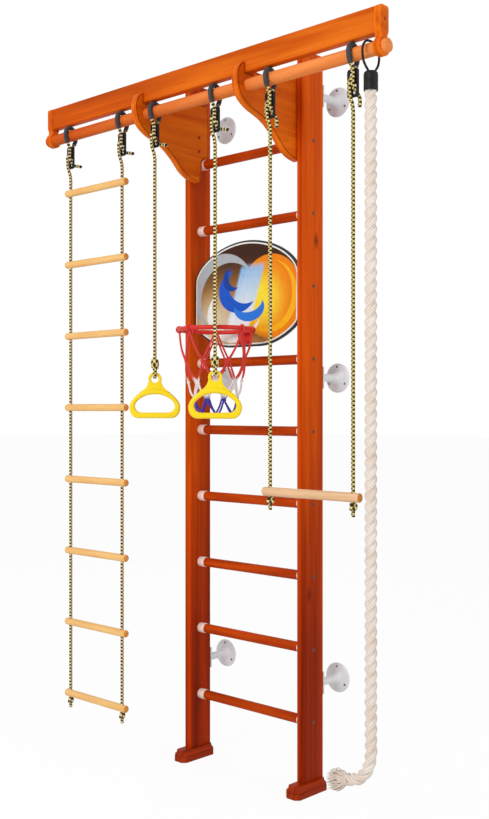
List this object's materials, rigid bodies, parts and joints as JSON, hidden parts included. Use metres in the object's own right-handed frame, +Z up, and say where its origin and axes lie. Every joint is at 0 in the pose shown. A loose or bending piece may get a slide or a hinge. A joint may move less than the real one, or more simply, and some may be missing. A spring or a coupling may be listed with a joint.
{
  "type": "swedish wall bars",
  "caption": "Wooden wall bars with a pull-up bar on brackets, carrying a rope ladder, gymnastic rings, a trapeze, a climbing rope and a small hoop with a net.",
  "frame": {"origin": "on the wall plane at floor level, midway between the two rails", "axes": "+X to the viewer's right, +Y into the wall, +Z up"},
  "size_m": [1.576, 0.4926, 2.44],
  "materials": {
    "stained_wood": "satin varnish",
    "rung_wood": "satin varnish",
    "natural_wood": "smooth sanded",
    "pale_wood": "smooth sanded",
    "white_paint": "satin powder coat",
    "grey_sleeve": "matt",
    "black_plastic": "moulded",
    "braided_rope": "braided",
    "cotton_rope": "twisted",
    "yellow_plastic": "moulded",
    "board_print": "printed",
    "red_paint": "satin paint",
    "net_twine": "knotted"
  },
  "bodies": {
    "frame": {"rail_left": "stained_wood", "foot_left": "stained_wood", "end_block_left": "stained_wood", "bracket_left": "stained_wood", "rail_right": "stained_wood", "foot_right": "stained_wood", "end_block_right": "stained_wood", "bracket_right": "stained_wood", "wall_mount_left_1": "white_paint", "wall_mount_left_2": "white_paint", "wall_mount_left_3": "white_paint", "wall_mount_right_1": "white_paint", "wall_mount_right_2": "white_paint", "wall_mount_right_3": "white_paint", "rung_1": "rung_wood", "rung_2": "rung_wood", "rung_3": "rung_wood", "rung_4": "rung_wood", "rung_5": "rung_wood", "rung_6": "rung_wood", "rung_7": "rung_wood", "rung_8": "rung_wood", "rung_9": "rung_wood", "rung_10": "rung_wood", "beam": "stained_wood", "pull_up_bar": "stained_wood", "backboard": "board_print", "hoop": "red_paint", "net": "net_twine"},
    "rope_ladder": {"ladder_left_sleeve": "grey_sleeve", "ladder_left_adjuster": "black_plastic", "ladder_left_rope": "braided_rope", "ladder_right_sleeve": "grey_sleeve", "ladder_right_adjuster": "black_plastic", "ladder_right_rope": "braided_rope", "ladder_rung_1": "natural_wood", "ladder_rung_2": "natural_wood", "ladder_rung_3": "natural_wood", "ladder_rung_4": "natural_wood", "ladder_rung_5": "natural_wood", "ladder_rung_6": "natural_wood", "ladder_rung_7": "natural_wood", "ladder_rung_8": "natural_wood"},
    "ring_left": {"ring_left_sleeve": "grey_sleeve", "ring_left_adjuster": "black_plastic", "ring_left_rope": "braided_rope"},
    "ring_left_grip": {"ring_left_handle": "yellow_plastic"},
    "ring_right": {"ring_right_sleeve": "grey_sleeve", "ring_right_adjuster": "black_plastic", "ring_right_rope": "braided_rope"},
    "ring_right_grip": {"ring_right_handle": "yellow_plastic"},
    "trapeze": {"trapeze_left_sleeve": "grey_sleeve", "trapeze_left_adjuster": "black_plastic", "trapeze_left_rope": "braided_rope", "trapeze_right_sleeve": "grey_sleeve", "trapeze_right_adjuster": "black_plastic", "trapeze_right_rope": "braided_rope", "trapeze_bar": "pale_wood"},
    "climbing_rope": {"climbing_rope_holder": "black_plastic", "climbing_rope": "cotton_rope"}
  },
  "joints": [
    {"name": "rope_ladder_swing", "type": "hinge", "parent": "frame", "child": "rope_ladder", "pos_m": [0, -0.428, 2.28], "axis": [1, 0, 0], "range_deg": [-45, 8]},
    {"name": "ring_left_swing", "type": "hinge", "parent": "frame", "child": "ring_left", "pos_m": [0, -0.428, 2.28], "axis": [1, 0, 0], "range_deg": [-60, 8]},
    {"name": "ring_right_swing", "type": "hinge", "parent": "frame", "child": "ring_right", "pos_m": [0, -0.428, 2.28], "axis": [1, 0, 0], "range_deg": [-60, 1]},
    {"name": "trapeze_swing", "type": "hinge", "parent": "frame", "child": "trapeze", "pos_m": [0, -0.428, 2.28], "axis": [1, 0, 0], "range_deg": [-60, 15]},
    {"name": "climbing_rope_swing", "type": "hinge", "parent": "frame", "child": "climbing_rope", "pos_m": [0, -0.428, 2.28], "axis": [1, 0, 0], "range_deg": [-38, 8]},
    {"name": "ring_left_rock", "type": "hinge", "parent": "ring_left", "child": "ring_left_grip", "pos_m": [-0.188, -0.428, 1.369], "axis": [-0.682, 0.7314, 0], "range_deg": [-30, 30]},
    {"name": "ring_right_rock", "type": "hinge", "parent": "ring_right", "child": "ring_right_grip", "pos_m": [0.103, -0.428, 1.369], "axis": [-0.682, 0.7314, 0], "range_deg": [-30, 30]}
  ]
}
